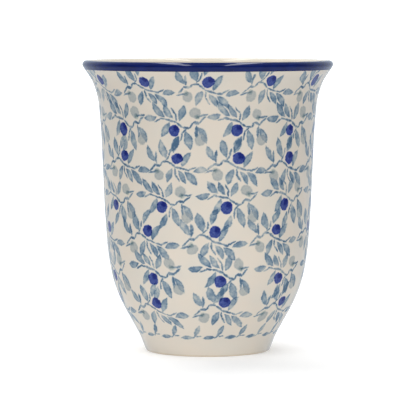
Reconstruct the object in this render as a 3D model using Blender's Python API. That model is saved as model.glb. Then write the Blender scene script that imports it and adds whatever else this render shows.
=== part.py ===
"""Handleless stoneware mug: a turned cup in layers of clay and glaze. Metres, +Z up, foot centred on the origin."""

import math

import bmesh
import bpy
from mathutils import Vector

# Driving dimensions, all in millimetres.
RIM_TOP = 116.0  # overall height
LIP_CENTRE_RADIUS = 48.3  # from the axis to the middle of the lip's thickness
LIP_HALF_THICKNESS = 1.7  # the lip is a half round of this radius
BAND_START_DEG = 20.0  # how far outward from the crest the blue begins
BAND_FOOT = (49.0, 112.4)  # radius and height of the blue band's lower edge
OUTER_WALL = (  # radius and height of the outside below the band, top to bottom
    (48.7, 112.0),
    (46.2, 108.0),
    (44.1, 102.0),
    (43.0, 93.0),
    (41.9, 72.0),
    (40.9, 52.0),
    (39.8, 39.5),
    (37.6, 28.0),
    (33.7, 18.2),
    (30.0, 11.5),
    (27.0, 5.8),
    (25.6, 2.2),
    (25.0, 0.75),
    (24.65, 0.15),
)
INNER_WALL = (  # radius and height of the inside below the lip, top to bottom
    (46.4, 113.4),
    (43.8, 110.0),
    (40.9, 104.8),
    (39.0, 97.5),
    (38.1, 88.0),
    (37.0, 68.0),
    (36.1, 50.0),
    (34.9, 38.0),
    (32.0, 27.5),
    (26.5, 18.0),
    (17.5, 11.8),
    (8.5, 9.8),
    (0.0, 9.4),
)
GLAZE = 0.5  # thickness of every glaze layer
JOIN_GAP = 0.3  # clearance between one layer and the next
FOOT_OUTER_RADIUS = 23.6  # outer edge of the flat that rests on the table
FOOT_INNER_RADIUS = 20.6  # inner edge of that flat
FOOT_EASING = 0.35  # radius that softens both edges of the foot ring
RECESS_RADIUS = 19.2  # of the hollow under the foot
RECESS_DEPTH = 3.2  # of the clay under the foot, before its glaze
RECESS_GLAZE_RADIUS = 18.6

SEGMENTS = 48  # flats around the axis
CURVE_STEPS = 2  # straight pieces between two stations of a wall
SHARP_FROM_DEG = 40.0  # an edge that turns more than this is shaded sharp
MERGE_WITHIN = 0.000001  # metres; closes the poles and the seam of a turned solid
MM = 0.001

CLAY = ("fired_clay", (0.52, 0.42, 0.31), 0.6)
CREAM = ("cream_glaze", (0.69, 0.62, 0.52), 0.12)
COBALT = ("cobalt_glaze", (0.03, 0.05, 0.17), 0.12)


def clear_scene():
    for thing in list(bpy.data.objects):
        bpy.data.objects.remove(thing, do_unlink=True)


def material(name, colour, roughness):
    made = bpy.data.materials.new(name)
    made.use_nodes = True
    shader = made.node_tree.nodes["Principled BSDF"]
    shader.inputs["Base Color"].default_value = (*colour, 1.0)
    shader.inputs["Roughness"].default_value = roughness
    shader.inputs["Metallic"].default_value = 0.0
    made.diffuse_color = (*colour, 1.0)
    return made


def smooth_curve(stations, steps):
    """Points on a smooth curve through the stations, which keeps its direction from one span to the next."""
    points = [Vector(station) for station in stations]
    spans = [(b - a).length for a, b in zip(points, points[1:])]
    chords = [(b - a) / span for a, b, span in zip(points, points[1:], spans)]
    slopes = [chords[0]]
    for i in range(1, len(points) - 1):
        slopes.append((chords[i - 1] * spans[i] + chords[i] * spans[i - 1]) / (spans[i - 1] + spans[i]))
    slopes.append(chords[-1])
    curve = []
    for i, span in enumerate(spans):
        for step in range(steps):
            t = step / steps
            ahead = t * t * (3 - 2 * t)
            start_pull = t * (1 - t) * (1 - t) * span
            end_pull = t * t * (1 - t) * span
            point = points[i] * (1 - ahead) + points[i + 1] * ahead
            curve.append(point + slopes[i] * start_pull - slopes[i + 1] * end_pull)
    curve.append(points[-1])
    return curve


def arc(centre, radius, start_deg, end_deg, steps):
    """Points on an arc. Angles run from straight up towards the outside of the cup."""
    points = []
    for step in range(steps + 1):
        turn = math.radians(start_deg + (end_deg - start_deg) * step / steps)
        points.append(Vector((centre[0] + radius * math.sin(turn), centre[1] + radius * math.cos(turn))))
    return points


def sunk(curve, depth):
    """The curve moved into the wall. The wall lies on the right of its direction of travel, seen with the axis left."""
    moved = []
    for i, point in enumerate(curve):
        before = curve[max(i - 1, 0)]
        after = curve[min(i + 1, len(curve) - 1)]
        along = (after - before).normalized()
        moved.append(point + Vector((along.y, -along.x)) * depth)
    return moved


def skin(curve, depth):
    """Closed outline of a layer that lies on the curve and reaches this deep into the wall."""
    return curve + sunk(curve, depth)[::-1]


def turned(name, outline, finish):
    """The solid swept by a closed outline of (radius, height) points once round the axis."""
    form = bmesh.new()
    corners = [form.verts.new((radius * MM, 0, height * MM)) for radius, height in outline]
    edges = [form.edges.new(pair) for pair in zip(corners, corners[1:] + corners[:1])]
    bmesh.ops.spin(
        form,
        geom=corners + edges,
        cent=(0, 0, 0),
        axis=(0, 0, 1),
        angle=2 * math.pi,
        steps=SEGMENTS,
        use_merge=True,
    )
    bmesh.ops.remove_doubles(form, verts=form.verts, dist=MERGE_WITHIN)
    on_axis = [face for face in form.faces if face.calc_area() < MERGE_WITHIN**2]
    bmesh.ops.delete(form, geom=on_axis, context="FACES")
    bmesh.ops.recalc_face_normals(form, faces=form.faces)
    mesh = bpy.data.meshes.new(name)
    form.to_mesh(mesh)
    form.free()
    mesh.materials.append(finish)
    mesh.shade_smooth()
    mesh.set_sharp_from_angle(angle=math.radians(SHARP_FROM_DEG))
    piece = bpy.data.objects.new(name, mesh)
    bpy.context.scene.collection.objects.link(piece)
    return piece


def trimmed(curve, gap):
    """The curve without its first stretch, as long as the gap."""
    along = (curve[1] - curve[0]).normalized()
    return [curve[0] + along * gap] + curve[1:]


clear_scene()
clay = material(*CLAY)
cream = material(*CREAM)
cobalt = material(*COBALT)

lip = (LIP_CENTRE_RADIUS, RIM_TOP - LIP_HALF_THICKNESS)
band_face = arc(lip, LIP_HALF_THICKNESS, BAND_START_DEG, 100, 4) + [Vector(BAND_FOOT)]
wall_face = smooth_curve(OUTER_WALL, CURVE_STEPS)
crest = arc(lip, LIP_HALF_THICKNESS, BAND_START_DEG, -90, 4)
liner_face = crest + smooth_curve(INNER_WALL, CURVE_STEPS)

# The liner's curve runs with the wall on its left, so it sinks by a negative depth.
turned("cobalt_rim_band", skin(trimmed(band_face, JOIN_GAP), GLAZE), cobalt)
turned("outer_glaze", skin(wall_face, GLAZE), cream)
turned("inner_glaze", skin(liner_face, -GLAZE), cream)

clay_depth = GLAZE + JOIN_GAP
clay_outside = sunk(band_face + wall_face, clay_depth)
clay_inside = sunk(liner_face, -clay_depth)
foot_outside = arc((FOOT_OUTER_RADIUS, FOOT_EASING), FOOT_EASING, 90, 180, 2)
foot_inside = arc((FOOT_INNER_RADIUS, FOOT_EASING), FOOT_EASING, 180, 270, 2)
recess = [Vector((RECESS_RADIUS, RECESS_DEPTH)), Vector((0, RECESS_DEPTH))]
clay_outline = clay_inside[::-1] + clay_outside[1:] + foot_outside + foot_inside + recess
turned("clay_body", clay_outline, clay)

glaze_top = RECESS_DEPTH - JOIN_GAP
glaze_face = glaze_top - GLAZE
recess_coat = [(0, glaze_top), (RECESS_GLAZE_RADIUS, glaze_top), (RECESS_GLAZE_RADIUS, glaze_face), (0, glaze_face)]
turned("foot_recess_glaze", recess_coat, cream)
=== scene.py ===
# %% [markdown]
# # A handleless stoneware mug, stamped with leaves and berries
# The cup is one thrown pot with a flared lip and a narrow foot. Its looks come from glaze: a cream coat
# over stamped underglaze colours, and a blue band brushed round the lip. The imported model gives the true
# sizes and a plain solid for each layer. This script throws a smooth version of each layer over it.

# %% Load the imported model
import math

import bpy
import numpy as np
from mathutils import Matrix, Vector


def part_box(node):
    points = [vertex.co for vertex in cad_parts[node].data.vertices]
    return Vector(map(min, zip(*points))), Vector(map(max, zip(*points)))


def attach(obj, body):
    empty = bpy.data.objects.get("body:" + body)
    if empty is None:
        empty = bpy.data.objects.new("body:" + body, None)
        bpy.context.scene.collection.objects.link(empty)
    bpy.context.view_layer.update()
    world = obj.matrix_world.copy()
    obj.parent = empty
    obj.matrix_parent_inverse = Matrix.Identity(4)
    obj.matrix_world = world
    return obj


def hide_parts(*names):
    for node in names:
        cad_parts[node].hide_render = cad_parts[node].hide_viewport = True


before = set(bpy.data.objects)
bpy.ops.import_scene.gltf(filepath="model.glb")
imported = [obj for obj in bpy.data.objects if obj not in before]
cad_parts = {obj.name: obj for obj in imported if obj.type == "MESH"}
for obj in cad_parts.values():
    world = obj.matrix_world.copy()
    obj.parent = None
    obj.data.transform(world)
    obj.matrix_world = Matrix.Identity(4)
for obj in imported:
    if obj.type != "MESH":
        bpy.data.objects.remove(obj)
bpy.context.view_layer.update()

MM = 0.001

# %% [markdown]
# ## The outline of the pot
# A turned pot is fully described by one half outline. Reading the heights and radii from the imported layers
# keeps every new piece inside them. Between a few stations, a curve that keeps its direction from one span
# to the next gives the flowing line that a potter's rib leaves, which straight spans can't.

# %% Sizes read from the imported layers
rim_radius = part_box("cobalt_rim_band")[1].x / MM
rim_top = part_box("inner_glaze")[1].z / MM
LIP_HALF_THICKNESS = 1.7
lip_radius = rim_radius - LIP_HALF_THICKNESS
lip_height = rim_top - LIP_HALF_THICKNESS
print("rim radius", round(rim_radius, 2), "rim top", round(rim_top, 2))

# %% Stations of the wall, as radius and height in mm
BAND_FOOT = (49.0, 112.4)
OUTER_WALL = (
    BAND_FOOT, (46.2, 108.0), (44.1, 102.0), (43.0, 93.0), (41.9, 72.0), (40.9, 52.0), (39.8, 39.5),
    (37.6, 28.0), (33.7, 18.2), (30.0, 11.5), (27.0, 5.8), (25.6, 2.2), (25.0, 0.75), (24.65, 0.15),
)
INNER_WALL = (
    (46.4, 113.4), (43.8, 110.0), (40.9, 104.8), (39.0, 97.5), (38.1, 88.0), (37.0, 68.0),
    (36.1, 50.0), (34.9, 38.0), (32.0, 27.5), (26.5, 18.0), (17.5, 11.8), (8.5, 9.8), (0.0, 9.4),
)
print(len(OUTER_WALL), "stations outside,", len(INNER_WALL), "inside")


# %% A smooth curve through stations
def smooth_curve(stations, steps):
    points = [Vector(station) for station in stations]
    spans = [(b - a).length for a, b in zip(points, points[1:])]
    chords = [(b - a) / span for a, b, span in zip(points, points[1:], spans)]
    slopes = [chords[0]]
    for i in range(1, len(points) - 1):
        slopes.append((chords[i - 1] * spans[i] + chords[i] * spans[i - 1]) / (spans[i - 1] + spans[i]))
    slopes.append(chords[-1])
    curve = []
    for i, span in enumerate(spans):
        for step in range(steps):
            t = step / steps
            ahead = t * t * (3 - 2 * t)
            point = points[i] * (1 - ahead) + points[i + 1] * ahead
            pulls = slopes[i] * (t * (1 - t) ** 2) - slopes[i + 1] * (t * t * (1 - t))
            curve.append(point + pulls * span)
    curve.append(points[-1])
    return curve


def arc(centre, radius, start_deg, end_deg, steps):
    turns = [math.radians(start_deg + (end_deg - start_deg) * i / steps) for i in range(steps + 1)]
    return [Vector((centre[0] + radius * math.sin(a), centre[1] + radius * math.cos(a))) for a in turns]


def sunk(curve, depth):
    moved = []
    for i, point in enumerate(curve):
        along = (curve[min(i + 1, len(curve) - 1)] - curve[max(i - 1, 0)]).normalized()
        moved.append(point + Vector((along.y, -along.x)) * depth)
    return moved


SPAN_STEPS = 7
wall_face = smooth_curve(OUTER_WALL, SPAN_STEPS)
print("points down the outside:", len(wall_face))

# %% [markdown]
# ## Throwing a layer
# A lathe shape could come from a Screw modifier or from the spin operator. Spin is used because it works
# on a drawn outline in edit mode, the way a learner would do it by hand: one point, extruded along the
# outline, closed, and then swept once round the axis. Doubles are merged afterwards, because the sweep
# leaves two copies of its first edge, and the normals are made to face outwards.

# %% Draw an outline and spin it
TURNS = 192  # flats round the axis; few enough for a light mesh, and the shading is smooth
MERGE_WITHIN = 1e-6  # metres
SHARP_FROM_DEG = 50


def throw(name, outline):
    bpy.ops.object.select_all(action="DESELECT")
    first = Vector((outline[0][0] * MM, 0, outline[0][1] * MM))
    bpy.ops.mesh.primitive_plane_add(size=MM, location=first)
    pot = bpy.context.active_object
    pot.name = name
    pot.data.name = name
    bpy.ops.object.mode_set(mode="EDIT")
    bpy.ops.mesh.merge(type="CENTER")
    for before, after in zip(outline, outline[1:]):
        step = Vector((after[0] - before[0], 0, after[1] - before[1])) * MM
        bpy.ops.mesh.extrude_region_move(TRANSFORM_OT_translate={"value": step})
    bpy.ops.object.mode_set(mode="OBJECT")
    bpy.ops.object.transform_apply(location=True, rotation=True, scale=True)
    if outline[-1][0] > 0:  # a ring-shaped layer, whose outline closes on itself
        for vertex in pot.data.vertices:
            vertex.select = vertex.index in (0, len(pot.data.vertices) - 1)
        bpy.ops.object.mode_set(mode="EDIT")
        bpy.ops.mesh.edge_face_add()
    else:
        bpy.ops.object.mode_set(mode="EDIT")
    bpy.ops.mesh.select_all(action="SELECT")
    bpy.ops.mesh.spin(steps=TURNS, angle=2 * math.pi, center=(0, 0, 0), axis=(0, 0, 1))
    bpy.ops.mesh.select_all(action="SELECT")
    bpy.ops.mesh.remove_doubles(threshold=MERGE_WITHIN)
    bpy.ops.mesh.dissolve_degenerate(threshold=MERGE_WITHIN)
    bpy.ops.mesh.normals_make_consistent(inside=False)
    bpy.ops.object.mode_set(mode="OBJECT")
    bpy.ops.object.shade_smooth_by_angle(angle=math.radians(SHARP_FROM_DEG))
    print(name, len(pot.data.polygons), "faces")
    return pot


# %% [markdown]
# ## The outer glaze
# The coat is half a millimetre thick and ends in a soft bead just above the table, as glaze does where
# it is wiped off the foot. It could be a Solidify modifier on a bare surface, but that gives a square edge,
# so it is thrown as a thin closed skin that lies on the clay, and its bead is real shape.

# %% Throw the outer glaze
GLAZE = 0.5
BED = 0.28  # each layer is bedded this deep into the clay drawn for it, so no light passes between them
BEAD_SAG = Vector((-0.02, -0.2))
wall_back = sunk(wall_face, GLAZE + BED)
bead_middle = (wall_face[-1] + wall_back[-1]) / 2 + BEAD_SAG
outer_glaze = throw("glazed_wall", wall_face + [bead_middle] + wall_back[::-1])

# %% [markdown]
# ## The blue band on the lip
# The lip is a half round. The band covers its outer side, from just past the crest to a clean lower edge
# under the roll. It could be a colour on the coat below, but it is brushed on by itself, with a different
# glaze, so it is a layer of its own, and where it meets the cream there is a true edge.

# %% Throw the lip band
BAND_START_DEG = 8.0
ROLL_END_DEG = 100.0
ROLL_STEPS = 16
BELOW_ROLL = (49.6, 113.4)
BELOW_ROLL_STEPS = 5
lip = (lip_radius, lip_height)
band_face = arc(lip, LIP_HALF_THICKNESS, BAND_START_DEG, ROLL_END_DEG, ROLL_STEPS)
band_face += smooth_curve((BELOW_ROLL, BAND_FOOT), BELOW_ROLL_STEPS)
band_back = sunk(band_face, GLAZE + BED)
rim_band = throw("blue_lip_band", band_face + band_back[::-1])

# %% [markdown]
# ## The liner
# The inside is coated cream from the crest of the lip down to the floor. A thrown floor keeps faint
# rings from the potter's fingers, so the floor and the lower wall get waves a few hundredths of a
# millimetre high. They are drawn in the outline, and the spin turns them into rings.

# %% Throw the liner
crest = arc(lip, LIP_HALF_THICKNESS, BAND_START_DEG, -90, ROLL_STEPS)
liner_face = crest + smooth_curve(INNER_WALL, SPAN_STEPS)
RING_PITCH = 3.4
RING_HEIGHT = 0.05
RINGS_START = 70.0  # height at which the rings begin to show


def with_rings(curve):
    ringed, run = [], 0.0
    for i, point in enumerate(curve):
        run += (point - curve[max(i - 1, 0)]).length
        share = max(0.0, min(1.0, (RINGS_START - point.y) / RINGS_START))
        edge = min(1.0, point.x / RING_PITCH)
        along = (curve[min(i + 1, len(curve) - 1)] - curve[max(i - 1, 0)]).normalized()
        wave = math.sin(2 * math.pi * run / RING_PITCH) * RING_HEIGHT * share * edge
        ringed.append(point + Vector((along.y, -along.x)) * wave)
    return ringed


liner_face = with_rings(liner_face)
liner_back = sunk(liner_face, -(GLAZE + BED))
liner_back[-1] = Vector((0, liner_back[-1].y))
liner = throw("glazed_inside", liner_face + liner_back[::-1])

# %% [markdown]
# ## The clay
# Bare stoneware shows only on the foot ring. A ring would be enough for the eye, but the body is thrown
# whole, as one closed solid under the glazes, because that is what the glazes lie on.

# %% Throw the clay body
clay_outside = sunk(band_face + wall_face[1:], GLAZE)
clay_inside = sunk(liner_face, -GLAZE)
clay_inside[-1] = Vector((0, clay_inside[-1].y))
FOOT_OUTER = 23.6
FOOT_INNER = 20.6
FOOT_EASING = 0.35
RECESS_RADIUS = 19.2
RECESS_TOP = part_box("foot_recess_glaze")[1].z / MM
OUTER_STEPS, INNER_STEPS = 6, 5
foot_curve = arc((FOOT_OUTER, FOOT_EASING), FOOT_EASING, 90, 180, OUTER_STEPS)
foot_curve += arc((FOOT_INNER, FOOT_EASING), FOOT_EASING, 180, 260, INNER_STEPS)
foot_curve += [Vector((RECESS_RADIUS, RECESS_TOP)), Vector((0, RECESS_TOP))]
clay = throw("clay_pot", clay_inside[::-1] + clay_outside[1:] + foot_curve)

# %% [markdown]
# ## The glaze under the foot
# The recess under the foot ring is glazed too. It is a shallow dish with a soft edge, and it keeps the
# fine rings of the trimming tool. A sine in the outline gives the rings, as it does in the liner.

# %% Throw the recess glaze
recess_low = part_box("foot_recess_glaze")[0].z / MM
recess_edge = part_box("foot_recess_glaze")[1].x / MM
RECESS_STEPS = 40
TRIM_PITCH = 1.9
TRIM_HEIGHT = 0.05
EDGE_RISE = 0.35
EDGE_SHARPNESS = 14  # a high power keeps the dish flat until close to its edge
dish = []
for i in range(RECESS_STEPS + 1):
    out = i / RECESS_STEPS
    radius = recess_edge * out
    trim = (1 + math.sin(2 * math.pi * radius / TRIM_PITCH)) * min(1.0, radius / TRIM_PITCH)
    dish.append(Vector((radius, recess_low + TRIM_HEIGHT * trim + EDGE_RISE * out**EDGE_SHARPNESS)))
dish += [Vector((recess_edge, RECESS_TOP + BED)), Vector((0, RECESS_TOP + BED))]
recess_glaze = throw("glazed_recess", dish)

# %% [markdown]
# ## Pieces and bodies
# Nothing moves on a mug, so every piece rides on the one body, and each stands for the imported layer that
# it was drawn over.

# %% Tie the pieces to the model
for piece, node, slot in (
    (outer_glaze, "outer_glaze", "decorated_glaze"),
    (rim_band, "cobalt_rim_band", "cobalt_glaze"),
    (liner, "inner_glaze", "cream_glaze"),
    (clay, "clay_body", "fired_clay"),
    (recess_glaze, "foot_recess_glaze", "cream_glaze"),
):
    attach(piece, "root")
    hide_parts(node)
    print(piece.name, "stands for", node)

# %% [markdown]
# ## Where a stamp lands
# A stamp follows the surface, so a pattern on this cup is laid out in millimetres along it: how far round,
# and how far down the slope of the wall. The way round comes from the position itself. The way down is
# stored on each vertex, because the wall is curved and its slope changes.

# %% Store the distance run down the wall
runs = [0.0]
for before, after in zip(wall_face, wall_face[1:]):
    runs.append(runs[-1] + (after - before).length)
heights = [point.y for point in wall_face]
RUN = "run_down_wall"
run_attribute = outer_glaze.data.attributes.new(RUN, "FLOAT", "POINT")
for vertex in outer_glaze.data.vertices:
    height = vertex.co.z / MM
    run_attribute.data[vertex.index].value = float(np.interp(height, heights[::-1], runs[::-1]))
print("the wall runs", round(runs[-1], 1), "mm from the band to the foot")


# %% [markdown]
# ## Colour and nodes
# Colours are picked as sRGB hex values, as a painter would read them off a swatch, and turned to linear
# light once. One function adds a node, sets it and links it, which keeps long recipes readable.

# %% Helpers for materials
NOISE_LOW, NOISE_HIGH = 0.3, 0.7  # a noise texture seldom leaves this range
EASED = "SMOOTHSTEP"


def colour(hex_value):
    parts = [int(hex_value[i:i + 2], 16) / 255 for i in (1, 3, 5)]
    linear = [c / 12.92 if c <= 0.04045 else ((c + 0.055) / 1.055) ** 2.4 for c in parts]
    return (*linear, 1.0)


def add(tree, kind, *inputs, out=0, stops=(), **settings):
    """Add a node, set it, link its inputs in order, and give back one output."""
    made = tree.nodes.new(kind)
    for name, value in settings.items():
        setattr(made, name, value)
    for socket, value in zip(made.inputs, inputs):
        if isinstance(value, bpy.types.NodeSocket):
            tree.links.new(value, socket)
        elif value is not None:
            socket.default_value = value
    for i, (position, hex_value) in enumerate(stops):
        made.color_ramp.elements[i].position = position
        made.color_ramp.elements[i].color = colour(hex_value)
    return made.outputs[out]


def finish_named(name, piece):
    made = bpy.data.materials.new(name)
    made.use_nodes = True
    piece.data.materials.clear()
    piece.data.materials.append(made)
    return made.node_tree, made.node_tree.nodes["Principled BSDF"]


# %% [markdown]
# ## The sprig stamp
# Each stamp prints one wandering twig with leaves, a blue berry and a grey-green berry. Painting an image
# would fix its sharpness, so the sprig is drawn with arithmetic instead. A leaf or a twig is a bent lens:
# a leaf's half width falls off as one minus the square of the way along it, a twig's as one minus the
# fourth power, which is blunter. What comes out is the distance inside its edge in mm, so the largest of
# all the distances is the whole sprig. Each shape wraps round its own pitch, so it stays whole where two
# prints meet.

# %% The shapes of the sprig, in mm from the blue berry
LEAVES = (  # base, tip, width, bend
    ((1.9, -3.6), (5.4, 2.5), 2.53, 0.25),
    ((6.8, -5.8), (12.4, -4.9), 2.53, 0.35),
    ((-1.9, -4.0), (-4.1, -10.0), 2.64, -0.2),
    ((0.5, -5.0), (3.8, -10.2), 2.2, 0.3),
    ((3.4, -5.6), (8.3, -11.2), 2.64, 0.3),
    ((-4.4, 0.2), (-6.7, 7.4), 3.19, 0.1),
    ((-1.7, 2.7), (1.3, 8.7), 2.42, 0.3),
    ((-9.1, -1.1), (-12.7, 4.9), 2.53, 0.3),
)
TWIGS = (  # from, to, width, bend
    ((-9.5, -2.2), (-6.7, -2.7), 1.01, -0.5),
    ((-7.0, -2.9), (-5.9, -0.9), 0.67, 0.0),
    ((-6.2, -1.2), (-3.2, -1.5), 0.78, 0.9),
    ((-3.6, -1.3), (-0.9, -3.3), 0.78, 0.2),
    ((-1.4, -3.1), (3.6, -4.7), 0.73, -0.3),
    ((3.2, -4.6), (5.6, -5.2), 0.67, 0.0),
    ((4.9, -4.9), (8.0, -3.6), 0.56, -0.4),
    ((-0.9, -3.9), (-0.6, -6.9), 0.62, 0.0),
    ((-0.7, -6.6), (1.1, -9.1), 0.56, 0.2),
    ((-4.7, -0.6), (-3.1, 1.2), 0.56, 0.0),
    ((-3.2, 1.0), (-2.7, 4.0), 0.67, 0.0),
    ((-8.6, -1.8), (-8.8, 3.0), 0.95, 0.1),
    ((-9.1, -2.3), (-12.0, -5.2), 0.67, 0.2),
    ((-12.6, -6.0), (-8.4, -5.2), 0.67, 0.4),
)
BERRY_RADIUS = 2.27
PALE_BERRY, PALE_RADIUS = (-7.8, -6.6), 2.15
STEM_SPOT, SPOT_RADIUS = (-8.6, -5.0), 0.9
print(len(LEAVES), "leaves and", len(TWIGS), "twigs in a sprig")


# %% One bent lens, laid over what is there already
def print_lens(tree, place, pitch, shape, under, blunt):
    base, tip, width, bend = Vector(shape[0]), Vector(shape[1]), shape[2], shape[3]
    middle, along = (base + tip) / 2, (tip - base) / 2
    across = Vector((-along.y, along.x)).normalized()
    along = along / along.length_squared
    moved = add(tree, "ShaderNodeVectorMath", place, (*middle, 0), operation="SUBTRACT")
    moved = add(tree, "ShaderNodeVectorMath", moved, pitch[0], pitch[1], operation="WRAP")
    way = add(tree, "ShaderNodeVectorMath", moved, (*along, 0), out="Value", operation="DOT_PRODUCT")
    side = add(tree, "ShaderNodeVectorMath", moved, (*across, 0), out="Value", operation="DOT_PRODUCT")
    fall = add(tree, "ShaderNodeMath", way, way, operation="MULTIPLY")
    if blunt:
        fall = add(tree, "ShaderNodeMath", fall, fall, operation="MULTIPLY")
    room = add(tree, "ShaderNodeMath", fall, -width / 2, width / 2, operation="MULTIPLY_ADD")
    if bend:
        side = add(tree, "ShaderNodeMath", room, -bend, side, operation="MULTIPLY_ADD")
    side = add(tree, "ShaderNodeMath", side, operation="ABSOLUTE")
    inside = add(tree, "ShaderNodeMath", room, side, operation="SUBTRACT")
    return add(tree, "ShaderNodeMath", under, inside, operation="MAXIMUM")


def print_disc(tree, place, pitch, middle, radius):
    moved = add(tree, "ShaderNodeVectorMath", place, (*middle, 0), operation="SUBTRACT")
    moved = add(tree, "ShaderNodeVectorMath", moved, pitch[0], pitch[1], operation="WRAP")
    reach = add(tree, "ShaderNodeVectorMath", moved, out="Value", operation="LENGTH")
    return add(tree, "ShaderNodeMath", radius, reach, operation="SUBTRACT")


# %% The sprig as a node group
FAR_OUTSIDE = -9.0
sprig = bpy.data.node_groups.new("leaf and berry sprig", "ShaderNodeTree")
for name in ("Place", "Half pitch"):
    sprig.interface.new_socket(name, in_out="INPUT", socket_type="NodeSocketVector")
for name in ("Leaves", "Twigs", "Berry", "Pale berry", "Pale spot"):
    sprig.interface.new_socket(name, in_out="OUTPUT", socket_type="NodeSocketFloat")
ask = sprig.nodes.new("NodeGroupInput")
place, half = ask.outputs["Place"], ask.outputs["Half pitch"]
minus_half = add(sprig, "ShaderNodeVectorMath", half, (-1, -1, -1), operation="MULTIPLY")
pitch = (half, minus_half)
leaves = FAR_OUTSIDE
for shape in LEAVES:
    leaves = print_lens(sprig, place, pitch, shape, leaves, blunt=False)
twigs = FAR_OUTSIDE
for shape in TWIGS:
    twigs = print_lens(sprig, place, pitch, shape, twigs, blunt=True)
give = sprig.nodes.new("NodeGroupOutput")
for name, value in (
    ("Leaves", leaves),
    ("Twigs", twigs),
    ("Berry", print_disc(sprig, place, pitch, (0, 0), BERRY_RADIUS)),
    ("Pale berry", print_disc(sprig, place, pitch, PALE_BERRY, PALE_RADIUS)),
    ("Pale spot", print_disc(sprig, place, pitch, STEM_SPOT, SPOT_RADIUS)),
):
    sprig.links.new(value, give.inputs[name])
print(len(sprig.nodes), "nodes in the sprig")

# %% [markdown]
# ## Rows of sprigs
# The stamper goes round the cup row by row: upright sprigs in four rows, and between them the same stamp
# turned upside down in three. Copies of a mesh could do this, but ink has no thickness. Each row has its
# own count, start and height, so a row's values are found by adding up steps as the point passes each
# border between rows. The cup narrows towards the foot, so the lower rows hold fewer prints.

# %% The rows, top to bottom
UPRIGHT_ROWS = {  # mm down the wall, prints round, first angle in degrees, looser spacing at the front
    "down": (4.3, 34.7, 63.1, 92.3),
    "count": (11, 11, 10, 8),
    "start": (0.0, -16.8, 3.0, 10.9),
    "ease": (-0.02, 0.0, 0.05, 0.0),
    "borders": (20.5, 50.0, 78.5),
}
HANGING_ROWS = {
    "down": (24.0, 53.8, 82.6),
    "count": (11, 10, 9),
    "start": (-17.3, 10.7, 6.3),
    "ease": (0.01, 0.0, -0.01),
    "borders": (37.5, 66.7),
}
print(sum(UPRIGHT_ROWS["count"]), "upright prints and", sum(HANGING_ROWS["count"]), "hanging ones")

# %% Look up a row's values, and lay a point out in its row
NO_REPEAT = 1000.0  # a pitch so large that nothing repeats up and down


def by_row(tree, run, rows, key):
    total = rows[key][0]
    for i, border in enumerate(rows["borders"]):
        change = rows[key][i + 1] - rows[key][i]
        if change:
            passed = add(tree, "ShaderNodeMath", run, border, operation="GREATER_THAN")
            total = add(tree, "ShaderNodeMath", passed, change, total, operation="MULTIPLY_ADD")
    return total


def place_in_row(tree, angle, radius, run, rows, facing):
    """Where a point lies from its row's berries, and half the pitch of the row, in mm."""
    start = by_row(tree, run, {**rows, "start": [math.radians(a) for a in rows["start"]]}, "start")
    swing = add(tree, "ShaderNodeMath", angle, operation="SINE")
    loosened = add(tree, "ShaderNodeMath", swing, by_row(tree, run, rows, "ease"), operation="MULTIPLY")
    turn = add(tree, "ShaderNodeMath", angle, loosened, operation="SUBTRACT")
    turn = add(tree, "ShaderNodeMath", turn, start, operation="SUBTRACT")
    around = add(tree, "ShaderNodeMath", turn, radius, operation="MULTIPLY")
    up = add(tree, "ShaderNodeMath", by_row(tree, run, rows, "down"), run, operation="SUBTRACT")
    flat = add(tree, "ShaderNodeCombineXYZ", around, up, 0.0)
    flat = add(tree, "ShaderNodeVectorMath", flat, (facing, facing, 0), operation="MULTIPLY")
    once = add(tree, "ShaderNodeMath", radius, math.pi, operation="MULTIPLY")
    half_pitch = add(tree, "ShaderNodeMath", once, by_row(tree, run, rows, "count"), operation="DIVIDE")
    return flat, add(tree, "ShaderNodeCombineXYZ", half_pitch, NO_REPEAT, NO_REPEAT)


# %% [markdown]
# ## The decorated glaze
# Underglaze colour is stamped on the unfired cup with a cut sponge, then covered with clear glaze. The
# colour is uneven: blotched where the sponge held more of it, grainy, and darker along some rims. Where
# two prints overlap, both colours show, because the glaze colours are transparent. Mix nodes would let
# one colour hide another, so each colour is a filter over the cream instead: it is raised to the power of
# its density, and multiplied in. To the eye it gives soft watery blues under a wet gloss.

# %% Positions on the wall
MM_SCALE = (1000, 1000, 1000)


def position_in_mm(tree):
    place = add(tree, "ShaderNodeTexCoord", out="Object")
    return add(tree, "ShaderNodeVectorMath", place, MM_SCALE, operation="MULTIPLY")


tree, glaze = finish_named("decorated cream stoneware glaze", outer_glaze)
in_mm = position_in_mm(tree)
split = add(tree, "ShaderNodeSeparateXYZ", in_mm).node.outputs
backwards = add(tree, "ShaderNodeMath", split["Y"], -1.0, operation="MULTIPLY")
angle = add(tree, "ShaderNodeMath", split["X"], backwards, operation="ARCTAN2")
flat_place = add(tree, "ShaderNodeVectorMath", in_mm, (1, 1, 0), operation="MULTIPLY")
radius = add(tree, "ShaderNodeVectorMath", flat_place, out="Value", operation="LENGTH")
run = add(tree, "ShaderNodeAttribute", out="Fac", attribute_name=RUN)
print(len(tree.nodes), "nodes so far")

# %% No two prints are quite alike: slow drift of the stamping hand, quick wobble of the soft sponge
HAND, SPONGE = (0.045, 3.2), (0.3, 1.1)  # waves per mm, and reach in mm
drift = (0, 0, 0)
for scale, reach in (HAND, SPONGE):
    noise = add(tree, "ShaderNodeTexNoise", in_mm, None, scale, 1.0, out="Color")
    noise = add(tree, "ShaderNodeVectorMath", noise, (0.5, 0.5, 0.5), operation="SUBTRACT")
    drift = add(tree, "ShaderNodeVectorMath", noise, (reach, reach, 0), drift, operation="MULTIPLY_ADD")
    print("a print may wander", reach / 2, "mm in waves", round(1 / scale, 1), "mm long")

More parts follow.
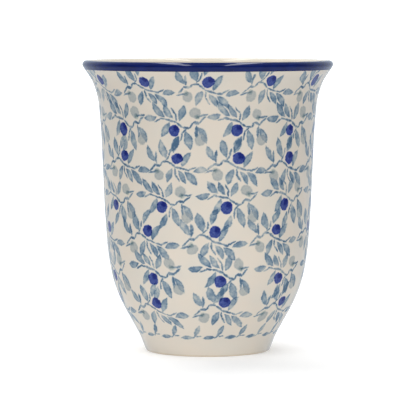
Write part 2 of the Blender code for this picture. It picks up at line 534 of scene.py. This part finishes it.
# %% Print both kinds of row
prints = []
for rows, facing in ((UPRIGHT_ROWS, 1), (HANGING_ROWS, -1)):
    flat, half_pitch = place_in_row(tree, angle, radius, run, rows, facing)
    flat = add(tree, "ShaderNodeVectorMath", flat, drift, operation="ADD")
    stamped = add(tree, "ShaderNodeGroup", node_tree=sprig).node
    tree.links.new(flat, stamped.inputs["Place"])
    tree.links.new(half_pitch, stamped.inputs["Half pitch"])
    minus_half = add(tree, "ShaderNodeVectorMath", half_pitch, (-1, -1, -1), operation="MULTIPLY")
    prints.append((stamped.outputs, flat, (half_pitch, minus_half), facing))
print(len(prints), "kinds of row")

# %% The garland above the foot
GARLAND = {"down": (108.2,), "count": (20,), "start": (1.0,), "ease": (0.0,), "borders": ()}
GARLAND_LEAVES = (
    ((-2.4, -0.1), (2.4, 0.3), 1.6, 0.1),
    ((3.1, 1.0), (5.9, 5.9), 1.8, -0.2),
)
GARLAND_TWIGS = (
    ((2.2, -0.2), (4.2, 1.6), 0.45, 0.0),
    ((3.6, 0.6), (5.9, 0.9), 0.4, 0.3),
)
flat, half_pitch = place_in_row(tree, angle, radius, run, GARLAND, 1)
STEADIER = (0.3, 0.3, 0)
flat = add(tree, "ShaderNodeVectorMath", drift, STEADIER, flat, operation="MULTIPLY_ADD")
back = add(tree, "ShaderNodeVectorMath", half_pitch, (-1, -1, -1), operation="MULTIPLY")
garland_leaves = FAR_OUTSIDE
for shape in GARLAND_LEAVES:
    garland_leaves = print_lens(tree, flat, (half_pitch, back), shape, garland_leaves, blunt=False)
garland_twigs = FAR_OUTSIDE
for shape in GARLAND_TWIGS:
    garland_twigs = print_lens(tree, flat, (half_pitch, back), shape, garland_twigs, blunt=True)
print(GARLAND["count"][0], "prints in the garland")

# %% The sponge: grain frays the edges, blotches change the strength, and each batch of colour differs
GRAIN_PER_MM, BLOTCHES_PER_MM, BATCHES_PER_MM = 1.4, 0.42, 0.1
FRAY_MM = 0.6
SPECKLE_LEAST, SPECKLE_MORE = 0.55, 0.9
grain = add(tree, "ShaderNodeTexNoise", in_mm, None, GRAIN_PER_MM, 3.0)
blotch = add(tree, "ShaderNodeTexNoise", in_mm, None, BLOTCHES_PER_MM, 2.0)
blotch = add(tree, "ShaderNodeMapRange", blotch, 0.32, 0.68, 0.5, 1.5)
batch = add(tree, "ShaderNodeTexNoise", in_mm, None, BATCHES_PER_MM, 1.0)
dose = add(tree, "ShaderNodeMapRange", batch, NOISE_LOW, NOISE_HIGH, 0.75, 1.25)
fray = add(tree, "ShaderNodeMath", grain, FRAY_MM, -FRAY_MM / 2, operation="MULTIPLY_ADD")
speckle = add(tree, "ShaderNodeMath", grain, SPECKLE_MORE, SPECKLE_LEAST, operation="MULTIPLY_ADD")
strength = add(tree, "ShaderNodeMath", speckle, blotch, operation="MULTIPLY")
strength = add(tree, "ShaderNodeMath", strength, dose, operation="MULTIPLY")
print("grain", round(1 / GRAIN_PER_MM, 1), "mm, blotches", round(1 / BLOTCHES_PER_MM, 1), "mm")

# %% How much colour a mark leaves at a point
RIM_WIDTH = (0.1, 0.8)  # mm inside the edge over which a mark goes from its rim to its centre


def ink_density(tree, inside, strength, soft, rim, centre):
    """How much colour lies at a point: none outside a mark, and from its rim to its centre as asked."""
    frayed = add(tree, "ShaderNodeMath", inside, fray, operation="ADD")
    covered = add(tree, "ShaderNodeMapRange", frayed, -soft, soft, 0.0, 1.0, interpolation_type=EASED)
    body = add(tree, "ShaderNodeMapRange", frayed, *RIM_WIDTH, rim, centre, interpolation_type=EASED)
    body = add(tree, "ShaderNodeMath", body, strength, operation="MULTIPLY")
    return add(tree, "ShaderNodeMath", body, covered, operation="MULTIPLY")


# %% Blue-grey leaves and twigs
MOST_INK = 1.7  # so that crossed prints don't turn black
upright, hanging = prints[0][0], prints[1][0]
leaf_ink = 0.0
for inside in (upright["Leaves"], hanging["Leaves"], garland_leaves):
    ink = ink_density(tree, inside, strength, soft=0.32, rim=1.05, centre=0.74)
    leaf_ink = add(tree, "ShaderNodeMath", leaf_ink, ink, operation="ADD")
for inside in (upright["Twigs"], hanging["Twigs"], garland_twigs):
    ink = ink_density(tree, inside, strength, soft=0.28, rim=1.15, centre=1.15)
    leaf_ink = add(tree, "ShaderNodeMath", leaf_ink, ink, operation="MAXIMUM")
leaf_ink = add(tree, "ShaderNodeMath", leaf_ink, MOST_INK, operation="MINIMUM")
print("leaves and twigs,", len(tree.nodes), "nodes so far")

# %% Pale berries, with a darker spot where the stem was pressed in, over leaves that show through faintly
EXTRA_PALE = (-10.4, 3.6)  # one more, in the hanging rows only
_, hanging_flat, hanging_pitch, _ = prints[1]
extra_pale = print_disc(tree, hanging_flat, hanging_pitch, EXTRA_PALE, PALE_RADIUS)
pale_inside = add(tree, "ShaderNodeMath", upright["Pale berry"], extra_pale, operation="MAXIMUM")
pale_inside = add(tree, "ShaderNodeMath", hanging["Pale berry"], pale_inside, operation="MAXIMUM")
pale_ink = ink_density(tree, pale_inside, speckle, soft=0.35, rim=1.3, centre=1.1)
spot_inside = add(tree, "ShaderNodeMath", upright["Pale spot"], hanging["Pale spot"], operation="MAXIMUM")
spot_ink = ink_density(tree, spot_inside, speckle, soft=0.6, rim=0.9, centre=0.9)
SHOWS_THROUGH = 0.35
seen_through = add(tree, "ShaderNodeMapRange", pale_inside, -0.3, 0.4, 1.0, SHOWS_THROUGH)
leaf_ink = add(tree, "ShaderNodeMath", leaf_ink, seen_through, operation="MULTIPLY")
print("pale berries", 2 * PALE_RADIUS, "mm across")

# %% Blue berries, each with a denser patch at its upper right
PATCH, PATCH_RADIUS, PATCH_DENSER = (0.85, 0.95), 0.9, 1.7
PATCH_FADE = (-0.8, 0.5)  # mm from its edge over which the patch begins
berry_ink = 0.0
for marks, flat, pitch_pair, facing in prints:
    ink = ink_density(tree, marks["Berry"], speckle, soft=0.22, rim=0.95, centre=0.9)
    middle = (PATCH[0] * facing, PATCH[1] * facing)
    patch = print_disc(tree, flat, pitch_pair, middle, PATCH_RADIUS)
    patch = add(tree, "ShaderNodeMapRange", patch, *PATCH_FADE, 1.0, PATCH_DENSER)
    patch.node.interpolation_type = EASED
    ink = add(tree, "ShaderNodeMath", ink, patch, operation="MULTIPLY")
    berry_ink = add(tree, "ShaderNodeMath", berry_ink, ink, operation="MAXIMUM")
print("blue berries", 2 * BERRY_RADIUS, "mm across")

# %% Lay the colours over the cream, which warms where it thins over the foot's edge
LEAF_BLUE, PALE_GREY, SPOT_GREY, BERRY_BLUE = "#8aa8c8", "#cdd8e2", "#aac0c9", "#3b50af"
CLAY_UNDER_THIN_GLAZE = "#f9f3ea"
THIN_BELOW, FULL_ABOVE = 0.35, 1.1  # heights in mm
CREAM_STOPS = ((NOISE_LOW, "#ddd3c5"), (NOISE_HIGH, "#d9d2c6"))
layered = add(tree, "ShaderNodeValToRGB", batch, stops=CREAM_STOPS)
thin = add(tree, "ShaderNodeMapRange", split["Z"], THIN_BELOW, FULL_ABOVE, 1.0, 0.0)
thin.node.interpolation_type = EASED
for filter_hex, density in (
    (LEAF_BLUE, leaf_ink),
    (PALE_GREY, pale_ink),
    (SPOT_GREY, spot_ink),
    (BERRY_BLUE, berry_ink),
    (CLAY_UNDER_THIN_GLAZE, thin),
):
    through = add(tree, "ShaderNodeGamma", colour(filter_hex), density)
    layered = add(tree, "ShaderNodeVectorMath", layered, through, operation="MULTIPLY")
tree.links.new(layered, glaze.inputs["Base Color"])
print(len(tree.nodes), "nodes in the decorated glaze")

# %% [markdown]
# ## A glaze's skin
# A fired glaze is glass: its index is about 1.5, and it is nearly mirror smooth. It still isn't perfect.
# It settles into shallow waves a few millimetres wide, which bend the reflections, and its gloss varies
# a little. Waves in the mesh would need far too many faces, so they are a bump. All the glazes share
# this skin, so one function gives it to each.

# %% Give a glaze its skin
GLAZE_IOR = 1.48
WAVES_PER_MM = 0.35
GLOSSIEST, DULLEST = 0.06, 0.12
BUMP_METRES = 0.0002
WAVE_STRENGTH = 0.25


def glass_skin(tree, glaze, in_mm):
    waves = add(tree, "ShaderNodeTexNoise", in_mm, None, WAVES_PER_MM, 2.0)
    gloss = add(tree, "ShaderNodeMapRange", waves, NOISE_LOW, NOISE_HIGH, GLOSSIEST, DULLEST)
    normal = add(tree, "ShaderNodeBump").node
    normal.inputs["Strength"].default_value = WAVE_STRENGTH
    normal.inputs["Distance"].default_value = BUMP_METRES
    tree.links.new(waves, normal.inputs["Height"])
    tree.links.new(normal.outputs["Normal"], glaze.inputs["Normal"])
    tree.links.new(gloss, glaze.inputs["Roughness"])
    glaze.inputs["IOR"].default_value = GLAZE_IOR


glass_skin(tree, glaze, in_mm)
print("waves", round(1 / WAVES_PER_MM, 1), "mm wide")

# %% [markdown]
# ## Plain glazes and clay
# The liner and the recess are dipped in the same cream. To the eye it is a warm white that clouds a little
# where the coat is thicker. Its colour is painted lighter than the cream outside, as painted light that
# lifts the shade falling inside the cup and under the foot. The blue is brushed on while the cup turns, so
# it is a deep wet blue that streaks along the lip. The clay is a buff stoneware with fine grit, dull and dry
# because it has no glaze. Flat colours would look like plastic, so each has a noise at the size of its own
# cloud, streak or grit.

# %% Cream glaze inside and under the foot
CLOUDS_PER_MM = 0.08
# painted light: this cream is lighter than the cream outside, to lift the shade inside the cup and under the
# foot
SHADE_LIFTED_CREAM_STOPS = ((0.35, "#eae3d4"), (0.65, "#f0e8da"))
for name, piece in (("cream liner glaze", liner), ("cream foot glaze", recess_glaze)):
    tree, glaze = finish_named(name, piece)
    in_mm = position_in_mm(tree)
    cloud = add(tree, "ShaderNodeTexNoise", in_mm, None, CLOUDS_PER_MM, 2.0)
    cream = add(tree, "ShaderNodeValToRGB", cloud, stops=SHADE_LIFTED_CREAM_STOPS)
    tree.links.new(cream, glaze.inputs["Base Color"])
    glass_skin(tree, glaze, in_mm)
    print(name)

# %% Blue glaze on the lip
STREAKS_PER_MM = (0.25, 0.25, 1.6)
BLUE_STOPS = ((NOISE_LOW, "#041250"), (NOISE_HIGH, "#0a1f66"))
tree, glaze = finish_named("brushed cobalt glaze", rim_band)
in_mm = position_in_mm(tree)
stretched = add(tree, "ShaderNodeVectorMath", in_mm, STREAKS_PER_MM, operation="MULTIPLY")
streak = add(tree, "ShaderNodeTexNoise", stretched, None, 1.0, 3.0)
blue = add(tree, "ShaderNodeValToRGB", streak, stops=BLUE_STOPS)
tree.links.new(blue, glaze.inputs["Base Color"])
glass_skin(tree, glaze, in_mm)
print("cobalt streaks per mm:", STREAKS_PER_MM)

# %% Fired clay
GRIT_PER_MM = 1.6
GRIT_STRENGTH = 0.6
ROUGHEST, SMOOTHEST = 0.7, 0.55
CLAY_STOPS = ((NOISE_LOW, "#c8b79d"), (NOISE_HIGH, "#dfd1ba"))
tree, body = finish_named("fired buff stoneware", clay)
in_mm = position_in_mm(tree)
grit = add(tree, "ShaderNodeTexNoise", in_mm, None, GRIT_PER_MM, 4.0)
buff = add(tree, "ShaderNodeValToRGB", grit, stops=CLAY_STOPS)
tree.links.new(buff, body.inputs["Base Color"])
rough = add(tree, "ShaderNodeMapRange", grit, NOISE_LOW, NOISE_HIGH, ROUGHEST, SMOOTHEST)
tree.links.new(rough, body.inputs["Roughness"])
normal = add(tree, "ShaderNodeBump").node
normal.inputs["Strength"].default_value = GRIT_STRENGTH
normal.inputs["Distance"].default_value = BUMP_METRES
tree.links.new(grit, normal.inputs["Height"])
tree.links.new(normal.outputs["Normal"], body.inputs["Normal"])
print("clay grit per mm:", GRIT_PER_MM)

# %% [markdown]
# ## The studio
# The cup stands on a round table of white acrylic that glows a little, as a product table does, which keeps
# the foot bright. One broad light stands behind and to the left, so the shadow falls forward and to the
# right, and another stands in front. A sun with a wide angle is used for both, because it lights evenly
# at any distance. The camera sees a white backdrop. Glossy rays see a dim, cool room instead, lighter
# behind, above and below, because a deep blue glaze looks deep only where it mirrors something dark.

# %% Table
FLOOR_RADIUS = 0.5
ACRYLIC_WHITE, GLOW_WHITE = "#e7e7e7", "#ffffff"
GLOW = 0.29
bpy.ops.object.select_all(action="DESELECT")
bpy.ops.mesh.primitive_circle_add(vertices=128, radius=FLOOR_RADIUS, fill_type="NGON", location=(0, 0, 0))
floor = bpy.context.active_object
floor.name = "studio_table"
tree, acrylic = finish_named("matt white acrylic light table", floor)
acrylic.inputs["Base Color"].default_value = colour(ACRYLIC_WHITE)
acrylic.inputs["Roughness"].default_value = 1.0
acrylic.inputs["Specular IOR Level"].default_value = 0.0
acrylic.inputs["Emission Color"].default_value = colour(GLOW_WHITE)
acrylic.inputs["Emission Strength"].default_value = GLOW
floor.visible_glossy = False
print("table", 2 * FLOOR_RADIUS, "m across")

# %% Room, as glossy rays see it: each ramp runs from where it is dim to the wall or surface that is lighter
DIM, BACK_WALL, CEILING, TABLE = 0.12, 0.75, 0.4, 0.6
world = bpy.data.worlds.new("white studio")
world.use_nodes = True
bpy.context.scene.world = world
air = world.node_tree
way = add(air, "ShaderNodeTexCoord", out="Generated")
way = add(air, "ShaderNodeSeparateXYZ", way).node.outputs
behind = add(air, "ShaderNodeMapRange", way["Y"], -0.1, 0.8, DIM, BACK_WALL, interpolation_type=EASED)
above = add(air, "ShaderNodeMapRange", way["Z"], 0.3, 0.75, DIM, CEILING, interpolation_type=EASED)
below = add(air, "ShaderNodeMapRange", way["Z"], 0.0, -0.4, DIM, TABLE, interpolation_type=EASED)
mirrored = add(air, "ShaderNodeMath", behind, above, operation="MAXIMUM")
mirrored = add(air, "ShaderNodeMath", mirrored, below, operation="MAXIMUM")

# %% Backdrop for the camera, a trace of fill for the rest, and a cool tint for glossy rays
FILL, BACKDROP = 0.05, 1.5
WHITE, COOLER_BY = (1, 1, 1), (-0.2, -0.1, 0)
ray = add(air, "ShaderNodeLightPath").node.outputs
light = add(air, "ShaderNodeMix", ray["Is Glossy Ray"], None, FILL, mirrored)
light = add(air, "ShaderNodeMix", ray["Is Camera Ray"], None, light, BACKDROP)
air.links.new(light, air.nodes["Background"].inputs["Strength"])
tint = add(air, "ShaderNodeVectorMath", ray["Is Glossy Ray"], COOLER_BY, WHITE, operation="MULTIPLY_ADD")
air.links.new(tint, air.nodes["Background"].inputs["Color"])
print(len(air.nodes), "nodes in the room")

# %% Two broad soft lights, from behind and from the front, which glossy rays don't see
SOFTNESS_DEG = 80
KEY_FROM, KEY_STRENGTH = (-0.3, 1.0, 1.05), 2.8
FRONT_FROM, FRONT_STRENGTH = (0.0, -1.0, 0.95), 2.3
for name, place, energy in (
    ("key_light", KEY_FROM, KEY_STRENGTH),
    ("front_light", FRONT_FROM, FRONT_STRENGTH),
):
    bpy.ops.object.light_add(type="SUN", location=place)
    soft = bpy.context.active_object
    soft.name = name
    soft.data.energy = energy
    soft.data.angle = math.radians(SOFTNESS_DEG)
    soft.visible_glossy = False
    soft.rotation_euler = soft.location.to_track_quat("Z", "Y").to_euler()
    print(name, energy, "W/m2")

# %% Two long strips overhead, which only glossy rays see: they are the small highlights on the lip
STRIP_SIDE, STRIP_FORWARD, STRIP_HEIGHT = 0.43, 0.68, 1.2
STRIP_WIDTH, STRIP_LENGTH = 0.2, 2.55
STRIP_WATTS = 9.6
STRIP_TURN_DEG = 7.4
for name, side in (("left_strip", -1), ("right_strip", 1)):
    bpy.ops.object.light_add(type="AREA", location=(STRIP_SIDE * side, -STRIP_FORWARD, STRIP_HEIGHT))
    strip = bpy.context.active_object
    strip.name = name
    strip.data.shape = "RECTANGLE"
    strip.data.size = STRIP_WIDTH
    strip.data.size_y = STRIP_LENGTH
    strip.data.energy = STRIP_WATTS
    strip.rotation_euler.z = math.radians(STRIP_TURN_DEG) * side
    strip.visible_diffuse = False
    print(name, STRIP_WATTS, "W")

# %% Camera, a metre away and just above the rim, looking slightly down
CAMERA_PLACE = (0.0001, -1.0605, 0.1355)
PITCH_DEG = 4.24
LENS_MM = 229.93
bpy.ops.object.camera_add(location=CAMERA_PLACE, rotation=(math.radians(90 - PITCH_DEG), 0, 0))
camera = bpy.context.active_object
camera.data.lens = LENS_MM
camera.data.sensor_width = 36.0
camera.data.clip_end = 100.0
bpy.context.scene.camera = camera
bpy.context.scene.view_settings.view_transform = "Standard"
print("camera", CAMERA_PLACE, "lens", LENS_MM, "mm")
